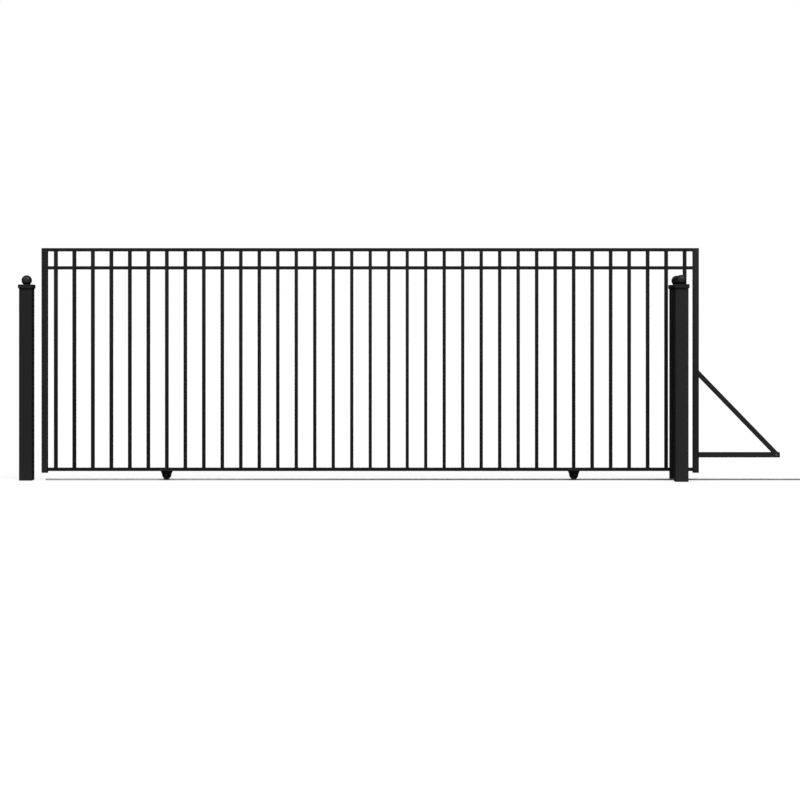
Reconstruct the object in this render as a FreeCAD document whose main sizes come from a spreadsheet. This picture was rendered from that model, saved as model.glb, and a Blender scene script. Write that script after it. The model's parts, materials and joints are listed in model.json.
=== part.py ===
import FreeCAD, Part
import os
import Sketcher

# A sliding driveway gate: a picket leaf on two grooved wheels that runs along a ground track,
# past a pair of guide posts, and shuts against a catch post. Millimetres.
# +X is the way the leaf opens, +Y runs from the front to the back, +Z is up.
# The origin is the middle of the catch post's foot, at ground level.
SIZES = {
    # posts, with their slip-over caps and ball finials
    "post_width": 100,
    "post_wall": 3,
    "post_corner": 4,
    "post_height": 1512,
    "guide_gap": 120,
    "guide_post_behind": 152.8,
    "cap_overhang": 6,
    "cap_height": 32,
    "cap_bevel": 5,
    "cap_edge": 1.5,
    "cap_lap": 28,
    "cap_fit": 0.2,
    "ball_diameter": 80,
    "ball_sink": 7.5,
    "ball_wall": 2,
    # ground track: an angle section laid with its corner up
    "track_leg": 17,
    "track_wall": 3,
    "track_start": 148,
    "track_overrun": 170,
    "slide_travel": 4890,
    # leaf frame and infill, all in box section
    "catch_gap": 68.2,
    "leaf_depth": 40,
    "leaf_height": 1727,
    "frame_wall": 2,
    "section_corner": 2.5,
    "stile_width": 45,
    "stile_drop": 13.5,
    "rail_height": 25,
    "middle_rail_drop": 140,
    "middle_rail_set_back": 3,
    "picket_width": 25,
    "picket_wall": 1.6,
    "picket_pitch": 143.36,
    "picket_count": 35,
    "end_gap": 50.5,
    # tail frame on the trailing stile
    "tail_reach": 627,
    "tail_bar_side": 40,
    "tail_bar_rise": 105.5,
    "brace_side": 35,
    "brace_rise": 779.5,
    "brace_inset": 13,
    # wheels, axles and the cheek plates that carry them
    "wheel_picket": 7,
    "wheel_radius": 35,
    "wheel_groove": 5,
    "wheel_rim_width": 24,
    "wheel_rim_radius": 23.5,
    "wheel_edge": 1,
    "wheel_web": 10,
    "wheel_hub_radius": 12,
    "wheel_clearance": 5,
    "ride_gap": 0.3,
    "axle_diameter": 12,
    "axle_fit": 0.05,
    "axle_drop": 29,
    "axle_head_across": 18,
    "axle_head": 7.5,
    "axle_head_bevel": 0.45,
    "axle_head_slope": 30,
    "axle_tail": 14,
    "hub_end_gap": 0.5,
    "cheek_plate": 5,
    "cheek_lap": 13,
    "cheek_shoulder": 44,
    "cheek_foot": 26,
    "cheek_below_axle": 16,
    "cheek_round": 14,
}

doc = FreeCAD.newDocument("sliding_driveway_gate")
sheet = doc.addObject("Spreadsheet::Sheet", "Sizes")
for row, (alias, value) in enumerate(SIZES.items(), start=1):
    sheet.set(f"A{row}", alias)
    sheet.set(f"B{row}", str(value))
    sheet.setAlias(f"B{row}", alias)
doc.recompute()


def size(formula):
    """The formula in brackets, with every driving dimension in it pointing at its cell."""
    for alias in SIZES:
        formula = formula.replace(f"<{alias}>", f"Sizes.{alias}")
    return f"({formula})"


# Lines that several pieces share, as formulas of the driving dimensions.
CAP_FLOOR = size("<post_height> - <cap_lap>")
CAP_TOP = f"({CAP_FLOOR} + {size('<cap_height>')})"
GUIDE_OFFSET = size("<guide_gap> / 2 + <post_width> / 2")
TRACK_TOP = size("<track_leg> * sqrt(2) / 2")
AXLE_HEIGHT = f"({TRACK_TOP} + {size('<ride_gap> * sqrt(2) + <wheel_radius> - <wheel_groove>')})"
RAIL_UNDERSIDE = f"({AXLE_HEIGHT} + {size('<axle_drop>')})"
RAIL_TOP = f"({RAIL_UNDERSIDE} + {size('<rail_height>')})"
LEAF_TOP = f"({RAIL_UNDERSIDE} + {size('<leaf_height>')})"
LEAF_START = size("<post_width> / 2 + <catch_gap>")
INFILL_START = f"({LEAF_START} + {size('<stile_width>')})"
FIRST_PICKET = f"({INFILL_START} + {size('<end_gap>')})"
PICKET_ROW = size("(<picket_count> - 1) * <picket_pitch>")
INFILL_LENGTH = f"({size('2 * <end_gap> + <picket_width>')} + {PICKET_ROW})"
TAIL_START = f"({INFILL_START} + {INFILL_LENGTH} + {size('<stile_width>')})"
WHEEL_INSET = size("<end_gap> + (<wheel_picket> - 1) * <picket_pitch> + <picket_width> / 2")
LEADING_WHEEL = f"({INFILL_START} + {WHEEL_INSET})"
TRAILING_WHEEL = f"({INFILL_START} + {INFILL_LENGTH} - {WHEEL_INSET})"
GUIDE_POST_X = f"({TAIL_START} - {size('<guide_post_behind>')})"

sub_parts = []


def place(piece, x="0", y="0", z="0"):
    """Puts a piece's own origin at a point given by three formulas, and lists it as a sub-part."""
    for axis, formula in zip("xyz", (x, y, z)):
        piece.setExpression(f".Placement.Base.{axis}", formula)
    sub_parts.append(piece)
    return piece


def new_body(label):
    body = doc.addObject("PartDesign::Body", label)
    body.Label = label
    body.AllowCompound = True
    return body


def origin_feature(body, role):
    return next(item for item in body.Origin.OriginFeatures if item.Role == role)


def outline_sketch(body, plane, *outlines):
    """A sketch of closed outlines. Each corner is two formulas, measured from the body's origin."""
    sketch = body.newObject("Sketcher::SketchObject", f"{body.Name}_outline")
    sketch.AttachmentSupport = [(origin_feature(body, plane), "")]
    sketch.MapMode = "FlatFace"
    for corners in outlines:
        first = sketch.GeometryCount
        count = len(corners)
        spots = []
        for across, along in corners:
            spots.append(FreeCAD.Vector(sheet.evalExpression(across), sheet.evalExpression(along), 0))
        for i in range(count):
            sketch.addGeometry(Part.LineSegment(spots[i], spots[(i + 1) % count]), False)
        for i, corner in enumerate(corners):
            line = first + i
            sketch.addConstraint(Sketcher.Constraint("Coincident", line, 2, first + (i + 1) % count, 1))
            for kind, formula, start in zip(("DistanceX", "DistanceY"), corner, (spots[i].x, spots[i].y)):
                number = sketch.addConstraint(Sketcher.Constraint(kind, -1, 1, line, 1, start))
                sketch.setExpression(f"Constraints[{number}]", formula)
    return sketch


def rectangle(width, depth):
    """A rectangle about the origin, as the corners of an outline."""
    return [(f"{i} * ({width}) / 2", f"{j} * ({depth}) / 2") for i, j in ((-1, -1), (1, -1), (1, 1), (-1, 1))]


def pad(body, sketch, length, both_ways=False):
    feature = body.newObject("PartDesign::Pad", f"{body.Name}_pad")
    feature.Profile = sketch
    feature.setExpression("Length", length)
    feature.Midplane = both_ways
    return feature


def pocket(body, sketch, length, reverse=False, both_ways=False):
    feature = body.newObject("PartDesign::Pocket", f"{body.Name}_pocket")
    feature.Profile = sketch
    feature.setExpression("Length", length)
    feature.Reversed = reverse
    feature.Midplane = both_ways
    return feature


def dress(body, kind, base, radius, chosen):
    """A fillet or chamfer on those edges of the base that pass the test."""
    doc.recompute()
    edges = [f"Edge{n}" for n, edge in enumerate(base.Shape.Edges, start=1) if chosen(edge)]
    feature = body.newObject(f"PartDesign::{kind}", f"{body.Name}_{kind.lower()}")
    feature.Base = (base, edges)
    feature.setExpression("Radius" if kind == "Fillet" else "Size", radius)
    body.Tip = feature
    return feature


def repeat_along_x(body, count, length, features=()):
    """A row of the named features, or of the whole piece where none is named."""
    feature = body.newObject("PartDesign::LinearPattern", f"{body.Name}_row")
    feature.TransformMode = "Features" if features else "Whole shape"
    feature.Originals = list(features)
    feature.Direction = (origin_feature(body, "X_Axis"), [""])
    feature.setExpression("Length", length)
    feature.setExpression("Occurrences", count)
    body.Tip = feature
    return feature


def runs_along(edge, axis):
    """Whether a straight edge runs along x, y or z."""
    direction = edge.Vertexes[-1].Point - edge.Vertexes[0].Point
    return direction.Length > 0 and abs(getattr(direction, axis)) > 0.999 * direction.Length


def box_section(label, plane, axis, width, depth, wall, corner, length, closed=False):
    """A box-section tube with rounded outer edges, from the body's origin along one axis.
    A closed one has its far end shut by a plate as thick as its wall."""
    body = new_body(label)
    solid = pad(body, outline_sketch(body, plane, rectangle(width, depth)), length)
    dress(body, "Fillet", solid, corner, lambda edge: runs_along(edge, axis))
    hollow = outline_sketch(body, plane, rectangle(f"{width} - 2 * {wall}", f"{depth} - 2 * {wall}"))
    body.Tip = pocket(body, hollow, f"{length} - {wall}" if closed else length, reverse=True)
    return body


def post(name, x, y):
    """A square tube post, its slip-over cap with a bevelled skirt, and a hollow ball on the cap."""
    side = size("<post_width>")
    tube = box_section(
        name, "XY_Plane", "z", side, side, size("<post_wall>"), size("<post_corner>"), size("<post_height>"))
    place(tube, x, y)

    cap = new_body(f"{name}_cap")
    cap_side = size("<post_width> + 2 * <cap_overhang>")
    socket = size("<post_width> + 2 * <cap_fit>")
    block = pad(cap, outline_sketch(cap, "XY_Plane", rectangle(cap_side, cap_side)), size("<cap_height>"))
    bevelled = dress(cap, "Chamfer", block, size("<cap_bevel>"), lambda edge: edge.BoundBox.ZMax < 1e-6)
    top = SIZES["cap_height"]
    dress(cap, "Chamfer", bevelled, size("<cap_edge>"), lambda edge: edge.BoundBox.ZMin > top - 1e-6)
    cap.Tip = pocket(cap, outline_sketch(cap, "XY_Plane", rectangle(socket, socket)), size("<cap_lap>"), reverse=True)
    place(cap, x, y, CAP_FLOOR)

    outer = doc.addObject("Part::Sphere", f"{name}_ball_outer")
    outer.setExpression("Radius", size("<ball_diameter> / 2"))
    outer.setExpression("Angle1", size("-asin(1 - 2 * <ball_sink> / <ball_diameter>)"))
    inner = doc.addObject("Part::Sphere", f"{name}_ball_inner")
    inner.setExpression("Radius", size("<ball_diameter> / 2 - <ball_wall>"))
    ball = doc.addObject("Part::Cut", f"{name}_ball")
    ball.Label = f"{name}_ball"
    ball.Base = outer
    ball.Tool = inner
    place(ball, x, y, f"{CAP_TOP} + {size('<ball_diameter> / 2 - <ball_sink>')}")


def ground_track():
    """An angle section lying on its two toes, with its corner up."""
    body = new_body("ground_track")
    reach = size("<track_leg> * sqrt(2) / 2")
    inner = size("<track_leg> * sqrt(2) / 2 - <track_wall> * sqrt(2)")
    section = [(f"-{reach}", "0"), (f"-{inner}", "0"), ("0", inner), (inner, "0"), (reach, "0"), ("0", reach)]
    length = f"{TRAILING_WHEEL} + {size('<slide_travel> + <track_overrun> - <track_start>')}"
    body.Tip = pad(body, outline_sketch(body, "YZ_Plane", section), length)
    place(body, size("<track_start>"))


def stile(name, x):
    """An upright end member of the leaf, with a closed top and an open foot."""
    body = box_section(
        name, "XY_Plane", "z", size("<stile_width>"), size("<leaf_depth>"),
        size("<frame_wall>"), size("<section_corner>"), size("<leaf_height> + <stile_drop>"), closed=True)
    place(body, x, "0", f"{RAIL_UNDERSIDE} - {size('<stile_drop>')}")


def rail_tube(name, depth):
    """A tube that fills the width between the stiles."""
    return box_section(
        name, "YZ_Plane", "x", depth, size("<rail_height>"),
        size("<frame_wall>"), size("<section_corner>"), INFILL_LENGTH)


def top_rail():
    body = rail_tube("top_rail", size("<leaf_depth>"))
    place(body, INFILL_START, "0", f"{LEAF_TOP} - {size('<rail_height> / 2')}")


def middle_rail():
    """The second rail, cut into lengths that are set between the pickets, a little behind their faces."""
    depth = size("<leaf_depth> - 2 * <middle_rail_set_back>")
    body = rail_tube("middle_rail", depth)
    left = size("<end_gap>")
    right = size("<end_gap> + <picket_width>")
    cut = [(left, f"-{depth}"), (right, f"-{depth}"), (right, depth), (left, depth)]
    gap = pocket(body, outline_sketch(body, "XY_Plane", cut), size("2 * <rail_height>"), both_ways=True)
    repeat_along_x(body, size("<picket_count>"), PICKET_ROW, [gap])
    place(body, INFILL_START, "0", f"{LEAF_TOP} - {size('<middle_rail_drop> + <rail_height> / 2')}")


def bottom_rail():
    """The rail that carries the leaf, with a slot in its underside over each wheel."""
    body = rail_tube("bottom_rail", size("<leaf_depth>"))
    reach = size("sqrt(max(<wheel_radius>^2 - <axle_drop>^2; 0)) + <wheel_clearance>")
    half = size("<wheel_rim_width> / 2 + <wheel_clearance>")
    slots = []
    for centre in (WHEEL_INSET, f"({INFILL_LENGTH} - {WHEEL_INSET})"):
        slots.append([(f"{centre} + {i} * {reach}", f"{j} * {half}") for i, j in ((-1, -1), (1, -1), (1, 1), (-1, 1))])
    body.Tip = pocket(body, outline_sketch(body, "XY_Plane", *slots), size("<rail_height>"))
    place(body, INFILL_START, "0", f"{RAIL_UNDERSIDE} + {size('<rail_height> / 2')}")


def pickets():
    """A row of upright tubes, narrow face to the front, standing on the bottom rail up to the top rail."""
    length = size("<leaf_height> - 2 * <rail_height>")
    body = box_section(
        "pickets", "XY_Plane", "z", size("<picket_width>"), size("<leaf_depth>"),
        size("<picket_wall>"), size("<section_corner>"), length)
    repeat_along_x(body, size("<picket_count>"), PICKET_ROW)
    place(body, f"{FIRST_PICKET} + {size('<picket_width> / 2')}", "0", RAIL_TOP)


def tail_bar():
    body = box_section(
        "tail_bar", "YZ_Plane", "x", size("<tail_bar_side>"), size("<tail_bar_side>"),
        size("<frame_wall>"), size("<section_corner>"), size("<tail_reach>"), closed=True)
    place(body, TAIL_START, "0", f"{RAIL_UNDERSIDE} + {size('<tail_bar_rise> + <tail_bar_side> / 2')}")


def tail_brace():
    """A sloping tube cut to the stile's face above and to the tail bar's top below."""
    body = new_body("tail_brace")
    rise = size("<brace_rise> - <tail_bar_rise> - <tail_bar_side>")
    reach = size("<tail_reach> - <brace_inset>")
    slope = f"sqrt({rise}^2 + {reach}^2)"

    def band(upper_edge, lower_edge):
        """The stretch between two lines that run below the brace's upper edge, at those distances from it."""
        corners = []
        for depth in (upper_edge, lower_edge):
            corners.append(("0", f"{rise} - {depth} * {slope} / {reach}"))
        for depth in (lower_edge, upper_edge):
            corners.append((f"{reach} - {depth} * {slope} / {rise}", "0"))
        return corners

    side = size("<brace_side>")
    wall = size("<frame_wall>")
    solid = pad(body, outline_sketch(body, "XZ_Plane", band("0", side)), side, both_ways=True)
    dress(
        body, "Fillet", solid, size("<section_corner>"),
        lambda edge: not any(runs_along(edge, axis) for axis in "xyz"))
    hollow = outline_sketch(body, "XZ_Plane", band(wall, f"({side} - {wall})"))
    body.Tip = pocket(body, hollow, f"{side} - 2 * {wall}", both_ways=True)
    place(body, TAIL_START, "0", f"{RAIL_UNDERSIDE} + {size('<tail_bar_rise> + <tail_bar_side>')}")


def cheek(name, x, y):
    """A tapered plate lapped on the bottom rail's face, with the hole that holds the axle."""
    body = new_body(name)
    shoulder = size("<cheek_shoulder>")
    foot = size("<cheek_foot>")
    drop = size("<axle_drop>")
    top = size("<axle_drop> + <cheek_lap>")
    low = size("<cheek_below_axle>")
    shape = [
        (f"-{shoulder}", top), (f"-{shoulder}", drop), (f"-{foot}", f"-{low}"),
        (foot, f"-{low}"), (shoulder, drop), (shoulder, top)]
    plate = pad(body, outline_sketch(body, "XZ_Plane", shape), size("<cheek_plate>"), both_ways=True)
    edge_line = -SIZES["cheek_below_axle"] + 1e-6
    dress(
        body, "Fillet", plate, size("<cheek_round>"),
        lambda edge: runs_along(edge, "y") and edge.BoundBox.ZMax < edge_line)
    hole = body.newObject("Sketcher::SketchObject", f"{body.Name}_hole")
    hole.AttachmentSupport = [(origin_feature(body, "XZ_Plane"), "")]
    hole.MapMode = "FlatFace"
    hole.addGeometry(Part.Circle(FreeCAD.Vector(), FreeCAD.Vector(0, 0, 1), SIZES["axle_diameter"] / 2), False)
    hole.addConstraint(Sketcher.Constraint("Coincident", 0, 3, -1, 1))
    number = hole.addConstraint(Sketcher.Constraint("Radius", 0, SIZES["axle_diameter"] / 2))
    hole.setExpression(f"Constraints[{number}]", size("<axle_diameter> / 2 + <axle_fit>"))
    body.Tip = pocket(body, hole, size("2 * <cheek_plate>"), both_ways=True)
    place(body, x, y, AXLE_HEIGHT)


def axle(name, x):
    """A bolt through both cheeks, with a bevelled hexagon head at the front and room for its nut behind."""
    lie_along_y = FreeCAD.Rotation(FreeCAD.Vector(1, 0, 0), -90)
    front = size("<leaf_depth> / 2 + <cheek_plate>")
    shank = doc.addObject("Part::Cylinder", f"{name}_shank")
    shank.setExpression("Radius", size("<axle_diameter> / 2"))
    shank.setExpression("Height", f"2 * {front} + {size('<axle_tail>')}")
    hexagon = doc.addObject("Part::Prism", f"{name}_hexagon")
    hexagon.Polygon = 6
    hexagon.setExpression("Circumradius", size("<axle_head_across> / sqrt(3)"))
    cone = doc.addObject("Part::Cone", f"{name}_bevel")
    cone.setExpression("Radius1", size("<axle_head_across> / 2 - <axle_head_bevel>"))
    cone.setExpression(
        "Radius2", size("<axle_head_across> / 2 - <axle_head_bevel> + <axle_head> / tan(<axle_head_slope> * 1deg)"))
    for form in (hexagon, cone):
        form.setExpression("Height", size("<axle_head>"))
        form.setExpression(".Placement.Base.z", size("-<axle_head>"))
    head = doc.addObject("Part::Common", f"{name}_head")
    head.Base = hexagon
    head.Tool = cone
    bolt = doc.addObject("Part::MultiFuse", name)
    bolt.Label = name
    bolt.Shapes = [shank, head]
    bolt.Placement.Rotation = lie_along_y
    place(bolt, x, f"-{front}", AXLE_HEIGHT)


def wheel(name, x):
    """A turned wheel with a right-angled groove that fits over the track, a thin web and a long hub,
    its rim and hub ends chamfered."""
    body = new_body(name)
    bore = size("<axle_diameter> / 2 + <axle_fit>")
    hub, rim, tread = size("<wheel_hub_radius>"), size("<wheel_rim_radius>"), size("<wheel_radius>")
    hub_half = size("<leaf_depth> / 2 - <hub_end_gap>")
    rim_half = size("<wheel_rim_width> / 2")
    web_half = size("<wheel_web> / 2")
    groove = size("<wheel_groove>")
    edge = size("<wheel_edge>")
    right = [
        (f"({hub} - {edge})", hub_half), (hub, f"({hub_half} - {edge})"), (hub, web_half), (rim, web_half),
        (rim, rim_half), (f"({tread} - {edge})", rim_half), (tread, f"({rim_half} - {edge})"), (tread, groove)]
    left = [(radius, f"-{along}") for radius, along in reversed(right)]
    profile = [(bore, f"-{hub_half}"), (bore, hub_half)] + right + [(f"{tread} - {groove}", "0")] + left
    turned = body.newObject("PartDesign::Revolution", f"{body.Name}_turned")
    turned.Profile = outline_sketch(body, "XY_Plane", profile)
    turned.ReferenceAxis = (turned.Profile[0], ["V_Axis"])
    turned.Angle = 360
    body.Tip = turned
    place(body, x, "0", AXLE_HEIGHT)


post("catch_post", "0", "0")
post("front_guide_post", GUIDE_POST_X, f"-{GUIDE_OFFSET}")
post("back_guide_post", GUIDE_POST_X, GUIDE_OFFSET)
ground_track()
stile("leading_stile", f"{LEAF_START} + {size('<stile_width> / 2')}")
stile("trailing_stile", f"{TAIL_START} - {size('<stile_width> / 2')}")
top_rail()
middle_rail()
bottom_rail()
pickets()
tail_bar()
tail_brace()
CHEEK_FACE = size("<leaf_depth> / 2 + <cheek_plate> / 2")
for end, spot in (("leading", LEADING_WHEEL), ("trailing", TRAILING_WHEEL)):
    cheek(f"{end}_wheel_front_cheek", spot, f"-{CHEEK_FACE}")
    cheek(f"{end}_wheel_back_cheek", spot, CHEEK_FACE)
    axle(f"{end}_axle", spot)
    wheel(f"{end}_wheel", spot)
doc.recompute()

for item in doc.Objects:
    if "Invalid" in item.State or "Error" in item.State:
        raise RuntimeError(f"{item.Label} failed to build: {item.State}")
for piece in sub_parts:
    if piece.Shape.isNull() or not piece.Shape.isValid() or not piece.Shape.Solids:
        raise RuntimeError(f"{piece.Label} has no valid solid")
os.makedirs("parts", exist_ok=True)
for piece in sub_parts:
    piece.Shape.exportStep(f"parts/{piece.Label}.step")
    print(piece.Label, len(piece.Shape.Solids), round(piece.Shape.Volume / 1000, 2), "cm3", piece.Shape.BoundBox)
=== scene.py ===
import json
import math

import bmesh
import bpy
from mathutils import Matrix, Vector


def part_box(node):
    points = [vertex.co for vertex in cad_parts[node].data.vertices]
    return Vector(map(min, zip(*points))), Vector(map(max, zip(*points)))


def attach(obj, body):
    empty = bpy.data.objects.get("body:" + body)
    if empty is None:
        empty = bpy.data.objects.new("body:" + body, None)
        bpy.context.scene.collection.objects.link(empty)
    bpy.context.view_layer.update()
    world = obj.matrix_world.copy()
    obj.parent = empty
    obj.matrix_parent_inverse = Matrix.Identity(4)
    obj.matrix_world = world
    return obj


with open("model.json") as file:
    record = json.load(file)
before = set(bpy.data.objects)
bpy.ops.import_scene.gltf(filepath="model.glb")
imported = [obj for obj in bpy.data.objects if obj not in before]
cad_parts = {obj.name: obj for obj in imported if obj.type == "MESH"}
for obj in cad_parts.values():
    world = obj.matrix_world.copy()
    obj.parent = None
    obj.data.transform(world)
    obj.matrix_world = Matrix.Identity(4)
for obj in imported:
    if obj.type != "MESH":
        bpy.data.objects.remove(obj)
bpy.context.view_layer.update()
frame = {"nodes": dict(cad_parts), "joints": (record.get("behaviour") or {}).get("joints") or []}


# Ground track: one length of hot-dip galvanised steel angle, lying on its two toes with the corner up.
# The zinc is dull with crystals and stains, and is painted lighter at the near end and darker towards the far end,
# as light falling off along it; grit lies against the toes, and the wheels keep the crown bright along the stretch
# that they roll on.

def add_node(tree, kind, inputs=(), **settings):
    """Adds a node. Each input is named or numbered, and gets a value or the socket that feeds it."""
    node = tree.nodes.new(kind)
    for setting, value in settings.items():
        setattr(node, setting, value)
    for key, value in dict(inputs).items():
        if isinstance(value, bpy.types.NodeSocket):
            tree.links.new(value, node.inputs[key])
        else:
            node.inputs[key].default_value = value
    return node


def maths(tree, operation, *values):
    """One step of arithmetic on numbers or sockets."""
    return add_node(tree, "ShaderNodeMath", enumerate(values), operation=operation).outputs[0]


def product(tree, *values):
    """All the values multiplied together."""
    total = values[0]
    for value in values[1:]:
        total = maths(tree, "MULTIPLY", total, value)
    return total


def fade(tree, value, start, end, low=0.0, high=1.0):
    """Eases from low to high while the value goes from start to end, and stays there on either side."""
    inputs = {"Value": value, "From Min": start, "From Max": end, "To Min": low, "To Max": high}
    return add_node(tree, "ShaderNodeMapRange", inputs, interpolation_type="SMOOTHSTEP").outputs["Result"]


def tint(tree, amount, under, over):
    """Lays one colour over another."""
    inputs = {"Factor": amount, 6: under, 7: over}
    return add_node(tree, "ShaderNodeMix", inputs, data_type="RGBA").outputs[2]


def noise(tree, position, size, detail=2.0, roughness=0.5):
    """Soft random blotches of about that size, from 0 to 1."""
    inputs = {"Vector": position, "Scale": 1.0 / size, "Detail": detail, "Roughness": roughness}
    return add_node(tree, "ShaderNodeTexNoise", inputs).outputs["Fac"]


def axes_of(tree, vector):
    """The three parts of a vector."""
    return add_node(tree, "ShaderNodeSeparateXYZ", {0: vector}).outputs


def grey(level):
    """A neutral colour of that brightness."""
    return (level, level, level, 1.0)


def new_finish(name, **constants):
    """A material with one Principled shader. Returns it with its tree, shader and object coordinates."""
    material = bpy.data.materials.new(name)
    material.use_nodes = True
    tree = material.node_tree
    shader = tree.nodes["Principled BSDF"]
    for socket, value in constants.items():
        shader.inputs[socket.replace("_", " ")].default_value = value
    position = add_node(tree, "ShaderNodeTexCoord").outputs["Object"]
    return material, tree, shader, position


def drive(tree, shader, **sockets):
    """Feeds the shader's sockets."""
    for socket, source in sockets.items():
        tree.links.new(source, shader.inputs[socket.replace("_", " ")])


def bump(tree, height, depth):
    """Turns a height from 0 to 1 into a bumpy normal, that many metres deep."""
    return add_node(tree, "ShaderNodeBump", {"Height": height, "Distance": depth}).outputs["Normal"]


def dress_nodes(material, *names):
    """Gives carried-over pieces their finish."""
    for name in names:
        for slot in frame["nodes"][name].material_slots:
            slot.material = material


def weathered_zinc():
    """Zinc that is dull with crystals and stains, bright along its crown and gritty at its toes, with painted shade
    darkening it towards the far end.
    """
    lit_zinc, shaded_zinc, shade_from, shade_to = grey(0.25), grey(0.085), 0.8, 2.9
    bright_zinc, crystal_size, crystal_show, crystal_rough = grey(0.32), 0.012, 0.22, (0.42, 0.55)
    stained_zinc, stain_size, stain_show, stain_rough = grey(0.08), 0.14, 0.35, 0.15
    clean_metal, stained_metal, pore_size, relief_depth = 0.9, 0.6, 0.004, 0.0001
    crown_half, crown_flat, crown_show, crown_polish, crown_run_out = 0.0022, 0.4, 0.35, 0.25, 0.02
    grit_colour, grit_size, grit_height, grit_rough = (0.16, 0.15, 0.135, 1.0), 0.03, 0.005, 0.4
    slide = next(joint for joint in frame["joints"] if joint["name"] == "gate_slide")
    path_start, path_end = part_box("leading_wheel")[0].x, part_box("trailing_wheel")[1].x + slide["range_m"][1]
    material, tree, shader, position = new_finish("weathered_zinc")
    along, across, height = axes_of(tree, position)
    crystals = add_node(tree, "ShaderNodeTexVoronoi", {"Vector": position, "Scale": 1.0 / crystal_size})
    crystal = add_node(tree, "ShaderNodeSeparateColor", {0: crystals.outputs["Color"]}).outputs[0]
    stain = fade(tree, noise(tree, position, stain_size, detail=6.0, roughness=0.65), start=0.35, end=0.7)
    grit = product(tree, fade(tree, height, grit_height, 0.0), noise(tree, position, grit_size, detail=4.0))
    rolled = product(
        tree, fade(tree, maths(tree, "ABSOLUTE", across), crown_half, crown_flat * crown_half),
        fade(tree, along, path_start - crown_run_out, path_start),
        fade(tree, along, path_end + crown_run_out, path_end))
    # Painted shade: lighter at the near end, darker towards the far end.
    colour = tint(tree, fade(tree, along, shade_from, shade_to), lit_zinc, shaded_zinc)
    colour = tint(tree, product(tree, crystal, crystal_show), colour, bright_zinc)
    colour = tint(tree, product(tree, stain, stain_show), colour, stained_zinc)
    colour = tint(tree, product(tree, rolled, crown_show), colour, bright_zinc)
    colour = tint(tree, grit, colour, grit_colour)
    rough = maths(tree, "ADD", fade(tree, crystal, 0.0, 1.0, *crystal_rough), product(tree, stain, stain_rough))
    rough = maths(tree, "ADD", rough, product(tree, grit, grit_rough))
    rough = maths(tree, "SUBTRACT", rough, product(tree, rolled, crown_polish))
    metal = maths(tree, "SUBTRACT", fade(tree, stain, 0.0, 1.0, clean_metal, stained_metal), grit)
    relief = maths(tree, "ADD", crystal, noise(tree, position, pore_size, detail=3.0))
    drive(tree, shader, Base_Color=colour, Roughness=rough, Metallic=maths(tree, "MAXIMUM", metal, 0.0),
          Normal=bump(tree, relief, relief_depth))
    return material


dress_nodes(weathered_zinc(), "ground_track")


# Posts: three lengths of 100 mm square steel tube, set in the ground and powder coated satin black.
# The coat has a fine orange peel, is rubbed thin along the corners, and carries splashed dirt at the foot.
# The guide posts were coated apart from the catch post, and came out a shade lighter.

def new_group(name, inputs, outputs):
    """An empty shader node group with named sockets. Returns it with its two end nodes."""
    tree = bpy.data.node_groups.new(name, "ShaderNodeTree")
    for label, kind in inputs.items():
        tree.interface.new_socket(label, in_out="INPUT", socket_type=kind)
    for label in outputs:
        tree.interface.new_socket(label, in_out="OUTPUT", socket_type="NodeSocketFloat")
    return tree, tree.nodes.new("NodeGroupInput"), tree.nodes.new("NodeGroupOutput")


def coat_grain_group():
    """The orange peel of a sprayed coat, its cloudy gloss, and faint streaks that rain leaves on it."""
    peel_size, cloud_size, streak_stretch = 0.0016, 0.22, (45.0, 45.0, 1.6)
    tree, given, out = new_group("coat_grain", {"Position": "NodeSocketVector"}, ("Peel", "Cloud", "Streak"))
    position = given.outputs["Position"]
    tall = add_node(tree, "ShaderNodeMapping", {"Vector": position, "Scale": streak_stretch}).outputs[0]
    cloud = fade(tree, noise(tree, position, cloud_size, detail=4.0, roughness=0.6), start=0.3, end=0.7)
    streak = fade(tree, noise(tree, tall, size=1.0, detail=3.0), start=0.45, end=0.75)
    tree.links.new(noise(tree, position, peel_size), out.inputs["Peel"])
    tree.links.new(cloud, out.inputs["Cloud"])
    tree.links.new(streak, out.inputs["Streak"])
    return tree


def rubbed_corner_group():
    """Where a square-edged piece is rubbed: on its rounded corners, in patches.
    Turn is how far the piece leans about Y."""
    patch_size, flat_face, rounded_corner = 0.05, 0.97, 0.80
    inputs = {"Position": "NodeSocketVector", "Normal": "NodeSocketVector", "Turn": "NodeSocketFloat"}
    tree, given, out = new_group("rubbed_corner", inputs, ("Rubbed",))
    upright = add_node(tree, "ShaderNodeVectorRotate", {
        "Vector": given.outputs["Normal"], "Angle": given.outputs["Turn"]}, rotation_type="Y_AXIS").outputs[0]
    x, y, z = axes_of(tree, add_node(tree, "ShaderNodeVectorMath", {0: upright}, operation="ABSOLUTE").outputs[0])
    squareness = maths(tree, "MAXIMUM", maths(tree, "MAXIMUM", x, y), z)
    blotches = noise(tree, given.outputs["Position"], patch_size, detail=5.0, roughness=0.7)
    patches = fade(tree, blotches, start=0.48, end=0.66)
    on_corner = fade(tree, squareness, flat_face, rounded_corner)
    tree.links.new(product(tree, on_corner, patches), out.inputs["Rubbed"])
    return tree


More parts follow.
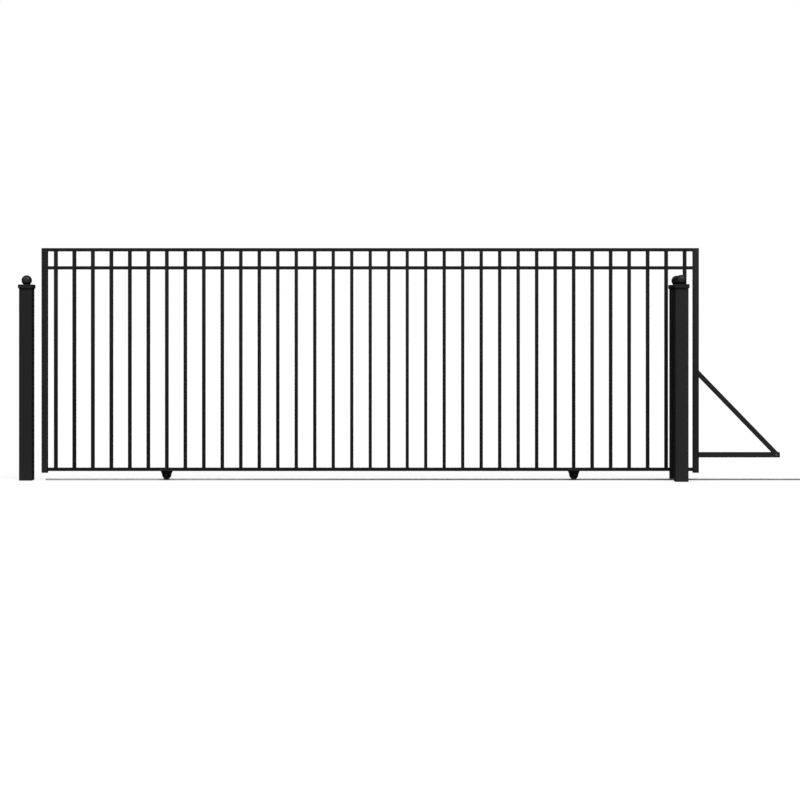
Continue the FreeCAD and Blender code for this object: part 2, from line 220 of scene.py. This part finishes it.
def settled_dirt_group():
    """Dust that settles on upward faces, and dirt that rain splashes up from the ground."""
    speckle_size, ragged_size, least_reach, ragged_reach = 0.012, 0.09, 0.4, 0.8
    sloping_face, level_face = 0.55, 0.98
    inputs = {"Position": "NodeSocketVector", "Normal": "NodeSocketVector", "Splash Height": "NodeSocketFloat"}
    tree, given, out = new_group("settled_dirt", inputs, ("Dust", "Splash"))
    position = given.outputs["Position"]
    height = axes_of(tree, position)["Z"]
    upward = axes_of(tree, given.outputs["Normal"])["Z"]
    speckle = fade(tree, noise(tree, position, speckle_size, detail=6.0, roughness=0.7), start=0.3, end=0.75)
    ragged = noise(tree, position, ragged_size, detail=5.0, roughness=0.65)
    share = maths(tree, "MULTIPLY_ADD", ragged, ragged_reach, least_reach)
    reach = product(tree, given.outputs["Splash Height"], share)
    tree.links.new(product(tree, fade(tree, upward, sloping_face, level_face), speckle), out.inputs["Dust"])
    tree.links.new(product(tree, fade(tree, height, reach, 0.0), speckle), out.inputs["Splash"])
    return tree


coat_grain = coat_grain_group()
rubbed_corner = rubbed_corner_group()
settled_dirt = settled_dirt_group()


def black_coat(name, tone, gloss, haze=0.38, dust=0.2, splash=0.15, rubbed=0.12, turn=0.0, marks=None):
    """Satin black powder coat of that tone and gloss, which haze blurs. The next three say how much dirt and wear
    it shows, turn how far the piece leans, and marks a tone laid over it, from random tone to painted shade: how
    much, its colour, the gloss it leaves."""
    rubbed_grey, dust_grey, splash_height, soil_rough = grey(0.10), (0.115, 0.108, 0.098, 1.0), 0.25, 0.5
    thin, thick, coat_rough, streak_show, streak_lift = 0.88, 1.12, (0.45, 0.55), 0.10, 2.2
    peel_hollow, peel_crest, peel_depth, sheen_falloff = 0.85, 1.15, 0.00006, 2.2
    material, tree, shader, position = new_finish(
        name, Specular_IOR_Level=0.0, Coat_Roughness=haze, Coat_IOR=1.5)
    normal = add_node(tree, "ShaderNodeNewGeometry").outputs["Normal"]
    grain = add_node(tree, "ShaderNodeGroup", node_tree=coat_grain)
    corner = add_node(tree, "ShaderNodeGroup", node_tree=rubbed_corner)
    dirt = add_node(tree, "ShaderNodeGroup", node_tree=settled_dirt)
    for group in (grain, corner, dirt):
        tree.links.new(position, group.inputs["Position"])
    for group in (corner, dirt):
        tree.links.new(normal, group.inputs["Normal"])
    corner.inputs["Turn"].default_value = turn
    dirt.inputs["Splash Height"].default_value = splash_height
    cloud, peel, streak = (grain.outputs[effect] for effect in ("Cloud", "Peel", "Streak"))
    soil = maths(tree, "ADD", product(tree, dirt.outputs["Dust"], dust),
                 product(tree, dirt.outputs["Splash"], splash))
    colour = tint(tree, cloud, grey(thin * tone), grey(thick * tone))
    colour = tint(tree, product(tree, streak, streak_show), colour, grey(streak_lift * tone))
    gloss_left = 1.0
    if marks:
        amount, mark_colour, gloss_left = marks(tree, position)
        colour = tint(tree, amount, colour, mark_colour)
    colour = tint(tree, product(tree, corner.outputs["Rubbed"], rubbed), colour, rubbed_grey)
    colour = tint(tree, soil, colour, dust_grey)
    rough = maths(tree, "ADD", fade(tree, cloud, 0.0, 1.0, *coat_rough), product(tree, soil, soil_rough))
    facing = add_node(tree, "ShaderNodeLayerWeight", {"Blend": 0.5}).outputs["Facing"]
    seen_square = maths(tree, "POWER", maths(tree, "SUBTRACT", 1.0, facing), sheen_falloff)
    sheen = product(
        tree, seen_square, fade(tree, cloud, 0.0, 1.0, thick * gloss, thin * gloss),
        fade(tree, peel, 0.3, 0.7, peel_hollow, peel_crest), maths(tree, "SUBTRACT", 1.0, soil), gloss_left)
    drive(tree, shader, Base_Color=colour, Roughness=rough, Coat_Weight=sheen, Normal=bump(tree, peel, peel_depth))
    return material


def painted_shade_under_cap(tree, position):
    """Painted shade under the cap: a darker, duller band on the stretch of post just below it."""
    cap_floor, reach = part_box("catch_post_cap")[0].z, 0.022
    cap_shade_black, cap_shade_show, cap_shade_gloss = grey(0.003), 0.8, 0.3
    cap_shade = fade(tree, axes_of(tree, position)["Z"], cap_floor - reach, cap_floor)
    return product(tree, cap_shade, cap_shade_show), cap_shade_black, fade(tree, cap_shade, 0.0, 1.0, 1.0, cap_shade_gloss)


guide_posts = ("front_guide_post", "back_guide_post")
post_names = ("catch_post", *guide_posts)
# Both post finishes carry painted shade just below the cap.
dress_nodes(black_coat("catch_post_black", tone=0.0115, gloss=0.22, splash=0.06, marks=painted_shade_under_cap), "catch_post")
dress_nodes(black_coat("guide_post_black", tone=0.0142, gloss=0.27, splash=0.06, marks=painted_shade_under_cap), *guide_posts)


# Caps and balls: a slip-over cap with a bevelled skirt on each post, and a hollow pressed ball welded to it.
# They are coated with the posts, a little glossier on the balls, and the seat of each ball shows its weld.

cap_names = [f"{post}_cap" for post in post_names]
ball_names = [f"{post}_ball" for post in post_names]
dress_nodes(black_coat("cap_black", tone=0.0115, gloss=0.22, splash=0.0), *cap_names)
dress_nodes(black_coat("ball_black", tone=0.0105, gloss=0.42, haze=0.24, splash=0.0, rubbed=0.0), *ball_names)


def weld_bead_tree():
    """A rippled bead of weld run along every edge of a mesh."""
    bead_sides, end_taper = 6, 0.45
    tree = bpy.data.node_groups.new("weld_bead", "GeometryNodeTree")
    tree.is_modifier = True
    sockets = {
        "Seams": "NodeSocketGeometry", "Bead Radius": "NodeSocketFloat", "Ripple Pitch": "NodeSocketFloat",
        "Ripple Depth": "NodeSocketFloat", "Unevenness": "NodeSocketFloat", "Seed": "NodeSocketInt",
        "Finish": "NodeSocketMaterial"}
    for label, kind in sockets.items():
        tree.interface.new_socket(label, in_out="INPUT", socket_type=kind)
    tree.interface.new_socket("Beads", in_out="OUTPUT", socket_type="NodeSocketGeometry")
    given = tree.nodes.new("NodeGroupInput").outputs
    out = tree.nodes.new("NodeGroupOutput")
    step = maths(tree, "DIVIDE", given["Ripple Pitch"], 2.0)
    seams = add_node(tree, "GeometryNodeMeshToCurve", {"Mesh": given["Seams"]})
    spaced = add_node(tree, "GeometryNodeResampleCurve", {"Curve": seams.outputs[0], "Length": step}, mode="LENGTH")
    index = add_node(tree, "GeometryNodeInputIndex").outputs[0]
    crest = maths(tree, "MULTIPLY_ADD", maths(tree, "MODULO", index, 2.0), given["Ripple Depth"], 1.0)
    spread = add_node(tree, "FunctionNodeRandomValue", {
        2: maths(tree, "SUBTRACT", 1.0, given["Unevenness"]), 3: maths(tree, "ADD", 1.0, given["Unevenness"]),
        "Seed": given["Seed"]}, data_type="FLOAT").outputs[1]
    ends = add_node(tree, "GeometryNodeCurveEndpointSelection").outputs[0]
    ring = add_node(tree, "GeometryNodeInputSplineCyclic").outputs[0]
    open_end = add_node(tree, "FunctionNodeBooleanMath", {0: ends, 1: ring}, operation="NIMPLY").outputs[0]
    taper = maths(tree, "MULTIPLY_ADD", open_end, -end_taper, 1.0)
    radius = product(tree, crest, spread, taper, given["Bead Radius"])
    section = add_node(tree, "GeometryNodeCurvePrimitiveCircle", {"Resolution": bead_sides, "Radius": 1.0})
    bead = add_node(tree, "GeometryNodeCurveToMesh", {
        "Curve": spaced.outputs[0], "Profile Curve": section.outputs[0], "Scale": radius, "Fill Caps": True})
    smooth = add_node(tree, "GeometryNodeSetShadeSmooth", {0: bead.outputs[0]})
    plain = add_node(tree, "GeometryNodeRealizeInstances", {0: smooth.outputs[0]})
    finished = add_node(tree, "GeometryNodeSetMaterial", {0: plain.outputs[0], "Material": given["Finish"]})
    tree.links.new(finished.outputs[0], out.inputs["Beads"])
    return tree


weld_bead = weld_bead_tree()
weld_black = black_coat("weld_black", tone=0.0115, gloss=0.22, splash=0.0, rubbed=0.0)


def run_beads(name, seams, radius, seed):
    """Welds along the seams, each a list of points that ends where it began if it goes all the way round."""
    settings = {"Bead Radius": radius, "Ripple Pitch": 0.006, "Ripple Depth": 0.14, "Unevenness": 0.07,
                "Seed": seed, "Finish": weld_black}
    points, edges = [], []
    for seam in seams:
        ring = (seam[0] - seam[-1]).length < 1e-6
        first, count = len(points), len(seam) - (1 if ring else 0)
        points += seam[:count]
        edges += [(first + i, first + (i + 1) % count) for i in range(count if ring else count - 1)]
    mesh = bpy.data.meshes.new(name)
    mesh.from_pydata(points, edges, [])
    piece = bpy.data.objects.new(name, mesh)
    bpy.context.scene.collection.objects.link(piece)
    modifier = piece.modifiers.new("beads", "NODES")
    modifier.node_group = weld_bead
    for socket in weld_bead.interface.items_tree:
        if socket.in_out == "INPUT" and socket.name in settings:
            modifier[socket.identifier] = settings[socket.name]
    evaluated = piece.evaluated_get(bpy.context.evaluated_depsgraph_get())
    beads = bpy.data.meshes.new_from_object(evaluated)
    piece.modifiers.remove(modifier)
    piece.data = beads
    return piece


def level_ring(centre, radius, steps=24):
    """A level ring of points that ends where it began."""
    turns = [2.0 * math.pi * i / steps for i in range(steps + 1)]
    return [centre + Vector((radius * math.cos(turn), radius * math.sin(turn), 0.0)) for turn in turns]


ball_seats = []
for ball in ball_names:
    low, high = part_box(ball)
    ball_radius = (high.x - low.x) / 2.0
    seat_drop = high.z - ball_radius - low.z
    seat_centre = Vector(((low.x + high.x) / 2.0, (low.y + high.y) / 2.0, low.z))
    ball_seats.append(level_ring(seat_centre, math.sqrt(ball_radius ** 2 - seat_drop ** 2)))
seat_welds = run_beads("ball_seat_welds", ball_seats, radius=0.0024, seed=3)
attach(seat_welds, "posts_and_track")


# Leaf frame: two stiles in 45 by 40 mm tube, with top and bottom rails in 25 by 40 mm tube between them.
# The joints are welded, dressed flush outside and left as beads in the inner corners, and then coated.
# The leading stile keeps an even black, and the other pieces carry painted shade, darker and duller towards the
# ground.

top_low, top_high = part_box("top_rail")
bottom_low, bottom_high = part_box("bottom_rail")


def painted_ground_shade(tree, position):
    """Painted shade: darker and duller towards the ground, fading out towards the top of the leaf."""
    ground_shade_black, ground_shade_show, ground_shade_gloss = grey(0.006), 0.5, 0.7
    ground_shade = fade(tree, axes_of(tree, position)["Z"], top_high.z, bottom_low.z)
    return product(tree, ground_shade, ground_shade_show), ground_shade_black, fade(tree, ground_shade, 0.0, 1.0, 1.0, ground_shade_gloss)


# Painted shade towards the ground on the trailing stile and the rails.
dress_nodes(black_coat("leading_stile_black", tone=0.0125, gloss=0.22, dust=0.1, splash=0.03), "leading_stile")
dress_nodes(black_coat("trailing_stile_black", tone=0.0160, gloss=0.30, dust=0.1, splash=0.03, marks=painted_ground_shade),
            "trailing_stile")
dress_nodes(black_coat("rail_black", tone=0.0100, gloss=0.19, dust=0.1, splash=0.03, marks=painted_ground_shade),
            "top_rail", "bottom_rail")


def across(x, z, reach):
    """A seam that runs from front to back."""
    return [Vector((x, -reach, z)), Vector((x, reach, z))]


bead_set_in, leaf_bead = 0.0025, 0.0020
weld_reach = top_high.y - bead_set_in
frame_seams = [across(x, z, weld_reach) for x in (top_low.x, top_high.x)
               for z in (top_low.z, bottom_high.z, bottom_low.z)]


# Pickets: a row of 25 by 40 mm tubes, narrow face to the front, each welded to both rails.
# They were coated side by side on the line, so each one took a slightly different depth of black,
# and painted shade darkens and dulls them towards the ground.

picket_count, picket_width = 35, 0.025
row_low, row_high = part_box("pickets")
picket_pitch = (row_high.x - row_low.x - picket_width) / (picket_count - 1)


def picket_tone_and_painted_shade(tree, position):
    """A tone of its own for each picket, with painted shade that makes it darker and duller towards the ground."""
    lit_black, darkest, lightest, shadiest, most_lit = grey(0.0125), 0.85, 1.15, 0.25, 0.85
    shaded_gloss, lit_gloss, first_middle = 0.55, 0.95, row_low.x + picket_width / 2.0
    along, _, height = axes_of(tree, position)
    place = maths(tree, "DIVIDE", maths(tree, "SUBTRACT", along, first_middle), picket_pitch)
    chance = add_node(tree, "ShaderNodeTexWhiteNoise", {"W": maths(tree, "ROUND", place)}, noise_dimensions="1D")
    own = fade(tree, chance.outputs["Value"], 0.0, 1.0, darkest, lightest)
    lit_share = fade(tree, height, row_low.z, row_high.z, shadiest, most_lit)
    gloss_left = fade(tree, lit_share, shadiest, most_lit, shaded_gloss, lit_gloss)
    return product(tree, own, lit_share), lit_black, product(tree, own, gloss_left)


dress_nodes(black_coat("picket_black", tone=0.0065, gloss=0.20, splash=0.03, marks=picket_tone_and_painted_shade), "pickets")
picket_faces = [row_low.x + i * picket_pitch + side for i in range(picket_count) for side in (0.0, picket_width)]
picket_seams = [across(x, z, weld_reach) for x in picket_faces for z in (row_high.z, row_low.z)]


# Middle rail: short lengths of 25 by 34 mm tube, each cut to fit between two pickets a little back from
# their faces, and welded all round at both ends.

dress_nodes(black_coat("middle_rail_black", tone=0.0097, gloss=0.18), "middle_rail")
middle_low, middle_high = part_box("middle_rail")


def upright_ring(x, low, high):
    """A square seam round a tube that runs along X and ends at x."""
    corners = ((low.y, low.z), (high.y, low.z), (high.y, high.z), (low.y, high.z), (low.y, low.z))
    return [Vector((x, y, z)) for y, z in corners]


middle_seams = [upright_ring(x, middle_low, middle_high) for x in [middle_low.x, *picket_faces, middle_high.x]]


# Tail: a 40 mm square bar and a sloping 35 mm brace that make a triangle behind the trailing stile,
# welded to it and to each other, with a dull zinc button-head bolt through the tip.

brace_side = 0.035
bar_low, bar_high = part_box("tail_bar")
brace_low, brace_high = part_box("tail_brace")
brace_lean = math.atan2(brace_high.z - brace_low.z, brace_high.x - brace_low.x)
dress_nodes(black_coat("tail_bar_black", tone=0.0130, gloss=0.26), "tail_bar")
dress_nodes(black_coat("brace_black", tone=0.0130, gloss=0.26, turn=brace_lean), "tail_brace")

brace_foot = brace_high.x - brace_side / math.sin(brace_lean)
brace_head = Vector((brace_low.x, brace_low.y, brace_high.z - brace_side / math.cos(brace_lean)))
brace_on_bar = [Vector((x, y, brace_low.z)) for x, y in (
    (brace_foot, brace_low.y), (brace_high.x, brace_low.y), (brace_high.x, brace_high.y),
    (brace_foot, brace_high.y), (brace_foot, brace_low.y))]
tail_seams = [upright_ring(bar_low.x, bar_low, bar_high), upright_ring(brace_low.x, brace_head, brace_high),
              brace_on_bar]


def turned_shape(rings, sides=36):
    """A closed shape round the Y axis, as its points and faces. Each ring is a place along Y, a radius and, on
    a hexagon, the width over its flats. The shape closes at its middle, or on itself as a washer does."""
    points, faces = [], []
    for place, radius, *flats in rings:
        for i in range(sides):
            turn = 2.0 * math.pi * i / sides
            off_flat = (turn + math.pi / 6.0) % (math.pi / 3.0) - math.pi / 6.0
            reach = min(radius, flats[0] / 2.0 / math.cos(off_flat)) if flats else radius
            points.append(Vector((reach * math.cos(turn), place, reach * math.sin(turn))))
    for ring in range(len(rings)):
        after = (ring + 1) % len(rings)
        if rings[ring][1] or rings[after][1]:
            faces += [(ring * sides + i, ring * sides + (i + 1) % sides,
                       after * sides + (i + 1) % sides, after * sides + i) for i in range(sides)]
    return points, faces


def washer(outer, bore, thickness):
    """A flat round washer with its outer edges eased."""
    ease = 0.15 * thickness
    return turned_shape([(0.0, bore), (0.0, outer - ease), (ease, outer), (thickness - ease, outer),
                         (thickness, outer - ease), (thickness, bore)])


def nut(flats, bore, thickness):
    """A hexagon nut whose corners are turned off to a cone at both ends, with a countersunk bore."""
    corner, end_face, sink = flats / math.sqrt(3.0), 0.475 * flats, 0.06 * flats
    slope = math.tan(math.radians(30.0))
    turned_off = [(slope * share * (corner - end_face), end_face + share * (corner - end_face), flats)
                  for share in (0.0, 0.33, 0.67, 1.0)]
    far_end = [(thickness - place, radius, flats) for place, radius, flats in reversed(turned_off)]
    return turned_shape([(sink, bore), (0.0, bore + sink), *turned_off, *far_end,
                         (thickness, bore + sink), (thickness - sink, bore)])


def threaded_end(radius, length, pitch):
    """The end of a bolt with its thread as close-set rings and a chamfered tip."""
    turns, root, tip = int(length / pitch) - 1, radius - 0.5 * pitch, radius - pitch
    crests = [(pitch * (turn + share), ring)
              for turn in range(turns) for share, ring in ((0.0, root), (0.5, radius))]
    return turned_shape([(0.0, 0.0), *crests, (pitch * turns, root), (length, tip), (length, 0.0)], sides=24)


def button_head(radius, height, socket):
    """A domed bolt head with a hexagon socket, out from the face that it is drawn down to."""
    edge, crown, mouth = 0.18 * height, 0.62 * radius, 0.62 * socket
    lip, seat, drill_point = 0.92 * height, 0.45 * height, 0.40 * height
    dome = [(-edge - (height - edge) * math.sin(turn), crown + (radius - crown) * math.cos(turn))
            for turn in (math.radians(15.0 * step) for step in range(7))]
    return turned_shape([(0.0, 0.0), (0.0, radius), *dome, (-height, mouth), (-lip, socket, socket),
                         (-seat, socket, socket), (-drill_point, 0.0)])


def joined_shapes(name, shapes, finish):
    """One piece from several shapes, each set down at its own place."""
    together = bmesh.new()
    for (points, faces), place in shapes:
        corners = [together.verts.new(point + Vector(place)) for point in points]
        for face in faces:
            together.faces.new([corners[i] for i in face])
        bmesh.ops.remove_doubles(together, verts=corners, dist=1e-6)
    bmesh.ops.recalc_face_normals(together, faces=together.faces)
    mesh = bpy.data.meshes.new(name)
    together.to_mesh(mesh)
    together.free()
    mesh.shade_smooth()
    mesh.set_sharp_from_angle(angle=math.radians(32.0))
    mesh.materials.append(finish)
    piece = bpy.data.objects.new(name, mesh)
    bpy.context.scene.collection.objects.link(piece)
    return piece


def plated_steel(name, plating, worn, metal, shine=0.5):
    """Dull plating on a fastener, clouded and pitted, with its corners scuffed by the spanner.
    Plating and worn are greys."""
    cloud_size, cloud_show, cloud_dim, cloud_rough, cloud_metal = 0.006, 0.5, 0.5, (0.45, 0.62), 0.7
    scuff_size, scuff_show, scuff_polish, pit_size, pit_depth = 0.003, 0.5, 0.12, 0.0008, 0.00004
    material, tree, shader, position = new_finish(name, Specular_IOR_Level=shine)
    cloud = fade(tree, noise(tree, position, cloud_size, detail=4.0, roughness=0.6), start=0.3, end=0.7)
    scuff = fade(tree, noise(tree, position, scuff_size, detail=5.0, roughness=0.7), start=0.55, end=0.7)
    colour = tint(tree, product(tree, cloud, cloud_show), grey(plating), grey(cloud_dim * plating))
    colour = tint(tree, product(tree, scuff, scuff_show), colour, grey(worn))
    rough = maths(tree, "SUBTRACT", fade(tree, cloud, 0.0, 1.0, *cloud_rough), product(tree, scuff, scuff_polish))
    drive(tree, shader, Base_Color=colour, Roughness=rough,
          Metallic=fade(tree, cloud, 0.0, 1.0, metal, cloud_metal * metal),
          Normal=bump(tree, noise(tree, position, pit_size), pit_depth))
    return material


bolt_inset, bolt_radius, bolt_thread = 0.029, 0.004, 0.00125
bolt_head_radius, bolt_head_height, bolt_socket = 0.0070, 0.0044, 0.005
tail_washer, tail_washer_thickness = 0.008, 0.0016
tail_nut, tail_nut_thickness, bolt_beyond_nut = 0.013, 0.0065, 0.004
bolt_x, bolt_z = bar_high.x - bolt_inset, (bar_low.z + bar_high.z) / 2.0
nut_face = bar_high.y + tail_washer_thickness
tip_bolt = joined_shapes("tail_tip_bolt", [
    (button_head(bolt_head_radius, bolt_head_height, bolt_socket), (bolt_x, bar_low.y, bolt_z)),
    (washer(tail_washer, bolt_radius, tail_washer_thickness), (bolt_x, bar_high.y, bolt_z)),
    (nut(tail_nut, bolt_radius, tail_nut_thickness), (bolt_x, nut_face, bolt_z)),
    (threaded_end(bolt_radius, tail_nut_thickness + bolt_beyond_nut, bolt_thread), (bolt_x, nut_face, bolt_z)),
], plated_steel("bolt_zinc", plating=0.11, worn=0.22, metal=0.8))
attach(tip_bolt, "gate_leaf")


# Wheel carriages: under two of the pickets, a pair of tapered plates lapped and welded on the bottom rail.
# They are coated with the leaf where they lap the rail, and are made nearly black from the rail's underside down.

ends = ("leading", "trailing")
cheek_names = [f"{end}_wheel_{side}_cheek" for end in ends for side in ("front", "back")]


def blackened_below_rail(tree, position):
    """Near-black laid on the plates from the rail's underside down, with a ragged edge and smeared patches."""
    lowest_edge, ragged, ragged_size, soft_edge = bottom_low.z - 0.001, 0.009, 0.009, 0.0015
    below_rail_black, smear_size, thin, thick = grey(0.0009), 0.011, 0.78, 1.0
    blotches = noise(tree, position, ragged_size, detail=5.0, roughness=0.65)
    edge = maths(tree, "MULTIPLY_ADD", blotches, ragged, lowest_edge)
    above_edge = maths(tree, "SUBTRACT", axes_of(tree, position)["Z"], edge)
    smears = noise(tree, position, smear_size, detail=5.0, roughness=0.65)
    greased = product(tree, fade(tree, above_edge, soft_edge, -soft_edge),
                      fade(tree, smears, 0.35, 0.65, thin, thick))
    return greased, below_rail_black, maths(tree, "SUBTRACT", 1.0, greased)


dress_nodes(black_coat("cheek_black", tone=0.0115, gloss=0.22, splash=0.0, rubbed=0.1, marks=blackened_below_rail), *cheek_names)

cheek_seams = []
for cheek in cheek_names:
    low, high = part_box(cheek)
    rail_face = bottom_low.y if high.y < 0.0 else bottom_high.y
    cheek_seams.append([Vector((x, rail_face, z)) for x, z in (
        (low.x, bottom_low.z), (low.x, high.z), (high.x, high.z), (high.x, bottom_low.z))])

leaf_welds = run_beads("leaf_welds", frame_seams + picket_seams + middle_seams + tail_seams + cheek_seams,
                       radius=leaf_bead, seed=7)
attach(leaf_welds, "gate_leaf")


# Axles: a 12 mm bolt through each pair of plates, head to the front, with a washer and nut drawn up at the back.
# The steel is blackened, and dull where the spanner has been.

axle_names = [f"{end}_axle" for end in ends]
axle_finish = plated_steel("axle_steel", plating=0.004, worn=0.02, metal=0.3, shine=0.12)
dress_nodes(axle_finish, *axle_names)

axle_radius, axle_washer, axle_washer_thickness = 0.006, 0.012, 0.0025
axle_nut, axle_nut_thickness = 0.018, 0.0100
fasteners = []
for end in ends:
    low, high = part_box(f"{end}_axle")
    plate_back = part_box(f"{end}_wheel_back_cheek")[1].y
    middle_x, middle_z = (low.x + high.x) / 2.0, (low.z + high.z) / 2.0
    fasteners.append((washer(axle_washer, axle_radius, axle_washer_thickness), (middle_x, plate_back, middle_z)))
    fasteners.append((nut(axle_nut, axle_radius, axle_nut_thickness),
                      (middle_x, plate_back + axle_washer_thickness, middle_z)))
axle_nuts = joined_shapes("axle_nuts", fasteners, axle_finish)
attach(axle_nuts, "gate_leaf")


# Wheels: turned from solid steel bar with a right-angled groove that sits on the track's crown.
# The sides have turning marks under black grease, and the track keeps the groove's flanks bright.

def wheel_steel(name, centre, groove_half, rim_radius):
    """Turned steel of a wheel with that centre, greased on its sides and bright in its groove."""
    greased, bare, smear_size, grease_rough, grease_metal = grey(0.0025), grey(0.012), 0.014, (0.45, 0.65), 0.3
    bright, polish, mark_pitch, relief_depth = grey(0.30), 0.15, 0.0009, 0.00004
    flank_foot, flank_side = (0.7 * rim_radius, 0.75 * rim_radius), (groove_half, 0.9 * groove_half)
    material, tree, shader, position = new_finish(name, Specular_IOR_Level=0.15)
    centred = add_node(tree, "ShaderNodeMapping", {"Vector": position, "Location": -centre}).outputs[0]
    x, y, z = axes_of(tree, centred)
    radial = maths(tree, "SQRT", maths(tree, "MULTIPLY_ADD", x, x, product(tree, z, z)))
    marks = maths(tree, "SINE", maths(tree, "DIVIDE", radial, mark_pitch / (2.0 * math.pi)))
    smears = fade(tree, noise(tree, position, smear_size, detail=5.0, roughness=0.65), start=0.35, end=0.65)
    worn = product(tree, fade(tree, maths(tree, "ABSOLUTE", y), *flank_side), fade(tree, radial, *flank_foot))
    colour = tint(tree, worn, tint(tree, smears, bare, greased), bright)
    rough = maths(tree, "SUBTRACT", fade(tree, smears, 0.0, 1.0, *grease_rough), product(tree, worn, polish))
    drive(tree, shader, Base_Color=colour, Roughness=rough, Metallic=fade(tree, worn, 0.0, 1.0, grease_metal, 1.0),
          Normal=bump(tree, maths(tree, "ADD", marks, smears), relief_depth))
    return material


groove_half = 0.005
for end in ends:
    low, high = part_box(f"{end}_wheel")
    dress_nodes(wheel_steel(f"{end}_wheel_steel", (low + high) / 2.0, groove_half, (high.x - low.x) / 2.0),
                f"{end}_wheel")


# Floor: a plain matt white sheet. It is lit like the rest, so the gate's shadow lies on it,
# and it shows white to the camera and in what the gate reflects.

def seen_directly(tree):
    """1 for what the camera sees, straight or in a reflection or through glass, and 0 for light on its way."""
    path = add_node(tree, "ShaderNodeLightPath").outputs
    return maths(tree, "MAXIMUM", maths(tree, "MAXIMUM", path["Is Camera Ray"], path["Is Glossy Ray"]),
                 path["Is Transmission Ray"])


def floor_finish():
    """A matt sheet that takes shadows, with a glow of its own that only the camera and reflections see."""
    shade, glow = grey(0.17), 0.775
    material = bpy.data.materials.new("pale_floor")
    material.use_nodes = True
    tree = material.node_tree
    tree.nodes.clear()
    matt = add_node(tree, "ShaderNodeBsdfDiffuse", {"Color": shade})
    white = add_node(tree, "ShaderNodeEmission", {
        "Color": grey(1.0), "Strength": product(tree, seen_directly(tree), glow)})
    both = add_node(tree, "ShaderNodeAddShader", {0: matt.outputs[0], 1: white.outputs[0]})
    add_node(tree, "ShaderNodeOutputMaterial", {"Surface": both.outputs[0]})
    return material


floor_reach = 150.0
floor_mesh = bpy.data.meshes.new("floor")
floor_mesh.from_pydata([(-floor_reach, -floor_reach, 0.0), (floor_reach, -floor_reach, 0.0),
                        (floor_reach, floor_reach, 0.0), (-floor_reach, floor_reach, 0.0)], [], [(0, 1, 2, 3)])
floor_mesh.materials.append(floor_finish())
floor = bpy.data.objects.new("floor", floor_mesh)
bpy.context.scene.collection.objects.link(floor)


# Studio light: two wide soft lamps high above the front, the right one stronger, another above the back,
# and an even glow from all round.

air_light, air_white = 0.30, 1.0
world = bpy.data.worlds.new("studio")
bpy.context.scene.world = world
world.use_nodes = True
world.node_tree.nodes.clear()
strength = fade(world.node_tree, seen_directly(world.node_tree), 0.0, 1.0, air_light, air_white)
air = add_node(world.node_tree, "ShaderNodeBackground", {"Color": grey(1.0), "Strength": strength})
add_node(world.node_tree, "ShaderNodeOutputWorld", {"Surface": air.outputs[0]})


def wide_lamp(name, towards, spread, strength):
    """An even light from far off, as wide as a softbox that fills that many degrees."""
    lamp = bpy.data.lights.new(name, "SUN")
    lamp.angle, lamp.energy = math.radians(spread), strength
    stand = bpy.data.objects.new(name, lamp)
    stand.rotation_mode = "QUATERNION"
    stand.rotation_quaternion = Vector(towards).to_track_quat("Z", "Y")
    bpy.context.scene.collection.objects.link(stand)


wide_lamp("right_light", towards=(0.45, -0.45, 0.77), spread=45.0, strength=2.6)
wide_lamp("left_light", towards=(-0.45, -0.45, 0.77), spread=45.0, strength=1.3)
wide_lamp("back_light", towards=(-0.30, 0.75, 0.60), spread=60.0, strength=1.6)


# Camera: level and square to the gate, at chest height, a little right of the middle of the leaf.
# Its view is shifted down, so that the gate stands higher in the picture, with more room below it than above.

camera = bpy.data.cameras.new("camera")
camera.sensor_width = 36.0
camera.lens = 78.12
camera.shift_y = -0.0875
camera_stand = bpy.data.objects.new("camera", camera)
camera_stand.location = (2.894, -13.459, 1.164)
camera_stand.rotation_euler = (math.radians(90.0), 0.0, 0.0)
bpy.context.scene.collection.objects.link(camera_stand)
bpy.context.scene.camera = camera_stand
bpy.context.scene.view_settings.view_transform = "Standard"
